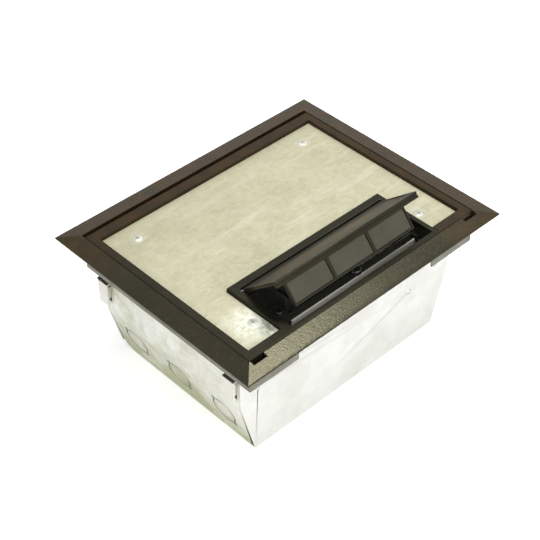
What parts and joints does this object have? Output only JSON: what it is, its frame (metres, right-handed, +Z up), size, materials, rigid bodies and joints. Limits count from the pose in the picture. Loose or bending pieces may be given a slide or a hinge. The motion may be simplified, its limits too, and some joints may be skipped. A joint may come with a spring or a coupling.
{
  "type": "floor socket box",
  "caption": "Rectangular steel floor box with sloped knockout ends, a moulded trim, and a hinged lid with a galvanised plate and a cable flap standing open.",
  "frame": {"origin": "centre of the base's underside, under the centre of the trim", "axes": "+X along the front edge, +Y from the cable outlet towards the lid hinge, +Z up out of the floor"},
  "size_m": [0.29, 0.234, 0.1586],
  "materials": {
    "galvanised_box": "galvanised",
    "rail_steel": "dull galvanised",
    "zinc_fixing": "zinc plated",
    "trim_plastic": "fine leather grain",
    "lid_plastic": "satin",
    "panel_grey": "fine grain",
    "lid_steel": "galvanised, soft spangle",
    "black_fixing": "gloss black",
    "pad_rubber": "matt",
    "socket_white": "gloss",
    "jack_grey": "satin",
    "earth_brass": "plain"
  },
  "bodies": {
    "housing": {"back_box_tray": "galvanised_box", "front_wall": "galvanised_box", "back_wall": "galvanised_box", "box_rivets": "zinc_fixing", "support_rail_left": "rail_steel", "support_rail_right": "rail_steel", "support_lug_front": "rail_steel", "support_lug_back": "rail_steel", "trim_frame": "trim_plastic", "trim_screws": "zinc_fixing", "plate_rail_front": "galvanised_box", "plate_rail_back": "galvanised_box", "divider_left": "galvanised_box", "divider_right": "galvanised_box", "earth_stud": "earth_brass", "earth_nut": "earth_brass", "plate_screws": "zinc_fixing", "data_jacks": "jack_grey", "data_plate": "galvanised_box", "socket_plate_left": "galvanised_box", "socket_plate_right": "galvanised_box", "socket_left_front": "socket_white", "clamp_shelf_left_front": "galvanised_box", "socket_left_back": "socket_white", "clamp_shelf_left_back": "galvanised_box", "socket_right_front": "socket_white", "clamp_shelf_right_front": "galvanised_box", "socket_right_back": "socket_white", "clamp_shelf_right_back": "galvanised_box"},
    "lid": {"lid_frame": "lid_plastic", "lid_plate": "lid_steel", "lid_screws": "zinc_fixing", "lid_hinge_pins": "zinc_fixing", "outlet_bezel": "lid_plastic", "cable_strip": "panel_grey", "bezel_screws": "black_fixing"},
    "flap": {"flap_shell": "lid_plastic", "flap_pads": "panel_grey", "flap_pins": "zinc_fixing"},
    "rocker_body_left_front": {"rocker_left_front": "socket_white"},
    "clamp_left_front": {"clamp_jaw_left_front": "galvanised_box", "clamp_pad_left_front": "pad_rubber"},
    "clamp_screw_body_left_front": {"clamp_screw_left_front": "zinc_fixing"},
    "rocker_body_left_back": {"rocker_left_back": "socket_white"},
    "clamp_left_back": {"clamp_jaw_left_back": "galvanised_box", "clamp_pad_left_back": "pad_rubber"},
    "clamp_screw_body_left_back": {"clamp_screw_left_back": "zinc_fixing"},
    "rocker_body_right_front": {"rocker_right_front": "socket_white"},
    "clamp_right_front": {"clamp_jaw_right_front": "galvanised_box", "clamp_pad_right_front": "pad_rubber"},
    "clamp_screw_body_right_front": {"clamp_screw_right_front": "zinc_fixing"},
    "rocker_body_right_back": {"rocker_right_back": "socket_white"},
    "clamp_right_back": {"clamp_jaw_right_back": "galvanised_box", "clamp_pad_right_back": "pad_rubber"},
    "clamp_screw_body_right_back": {"clamp_screw_right_back": "zinc_fixing"}
  },
  "joints": [
    {"name": "lid_hinge", "type": "hinge", "parent": "housing", "child": "lid", "pos_m": [0, 0.0935, 0.123], "axis": [-1, 0, 0], "range_deg": [0, 100]},
    {"name": "flap_hinge", "type": "hinge", "parent": "lid", "child": "flap", "pos_m": [0, -0.0392, 0.1259], "axis": [-1, 0, 0], "range_deg": [-41, 44]},
    {"name": "rocker_hinge_left_front", "type": "hinge", "parent": "housing", "child": "rocker_body_left_front", "pos_m": [-0.098, -0.036, 0.066], "axis": [0, 1, 0], "range_deg": [0, 14]},
    {"name": "clamp_screw_turn_left_front", "type": "hinge", "parent": "housing", "child": "clamp_screw_body_left_front", "pos_m": [-0.11689, -0.0775, 0.1], "axis": [0, 0, 1], "range_deg": [-2250, 5400]},
    {"name": "clamp_slide_left_front", "type": "slide", "parent": "housing", "child": "clamp_left_front", "axis": [0, 0, 1], "range_m": [-0.005, 0.012]},
    {"name": "rocker_hinge_left_back", "type": "hinge", "parent": "housing", "child": "rocker_body_left_back", "pos_m": [-0.098, 0.036, 0.066], "axis": [0, 1, 0], "range_deg": [0, 14]},
    {"name": "clamp_screw_turn_left_back", "type": "hinge", "parent": "housing", "child": "clamp_screw_body_left_back", "pos_m": [-0.11689, 0.0775, 0.1], "axis": [0, 0, 1], "range_deg": [-2250, 5400]},
    {"name": "clamp_slide_left_back", "type": "slide", "parent": "housing", "child": "clamp_left_back", "axis": [0, 0, 1], "range_m": [-0.005, 0.012]},
    {"name": "rocker_hinge_right_front", "type": "hinge", "parent": "housing", "child": "rocker_body_right_front", "pos_m": [0.098, -0.036, 0.066], "axis": [0, 1, 0], "range_deg": [0, 14]},
    {"name": "clamp_screw_turn_right_front", "type": "hinge", "parent": "housing", "child": "clamp_screw_body_right_front", "pos_m": [0.11689, -0.0775, 0.1], "axis": [0, 0, 1], "range_deg": [-2250, 5400]},
    {"name": "clamp_slide_right_front", "type": "slide", "parent": "housing", "child": "clamp_right_front", "axis": [0, 0, 1], "range_m": [-0.005, 0.012]},
    {"name": "rocker_hinge_right_back", "type": "hinge", "parent": "housing", "child": "rocker_body_right_back", "pos_m": [0.098, 0.036, 0.066], "axis": [0, 1, 0], "range_deg": [0, 14]},
    {"name": "clamp_screw_turn_right_back", "type": "hinge", "parent": "housing", "child": "clamp_screw_body_right_back", "pos_m": [0.11689, 0.0775, 0.1], "axis": [0, 0, 1], "range_deg": [-2250, 5400]},
    {"name": "clamp_slide_right_back", "type": "slide", "parent": "housing", "child": "clamp_right_back", "axis": [0, 0, 1], "range_m": [-0.005, 0.012]}
  ],
  "couplings": [
    {"joint": "clamp_screw_turn_left_front", "follows": "clamp_slide_left_front", "rad_per_m": 7854},
    {"joint": "clamp_screw_turn_left_back", "follows": "clamp_slide_left_back", "rad_per_m": 7854},
    {"joint": "clamp_screw_turn_right_front", "follows": "clamp_slide_right_front", "rad_per_m": 7854},
    {"joint": "clamp_screw_turn_right_back", "follows": "clamp_slide_right_back", "rad_per_m": 7854}
  ]
}
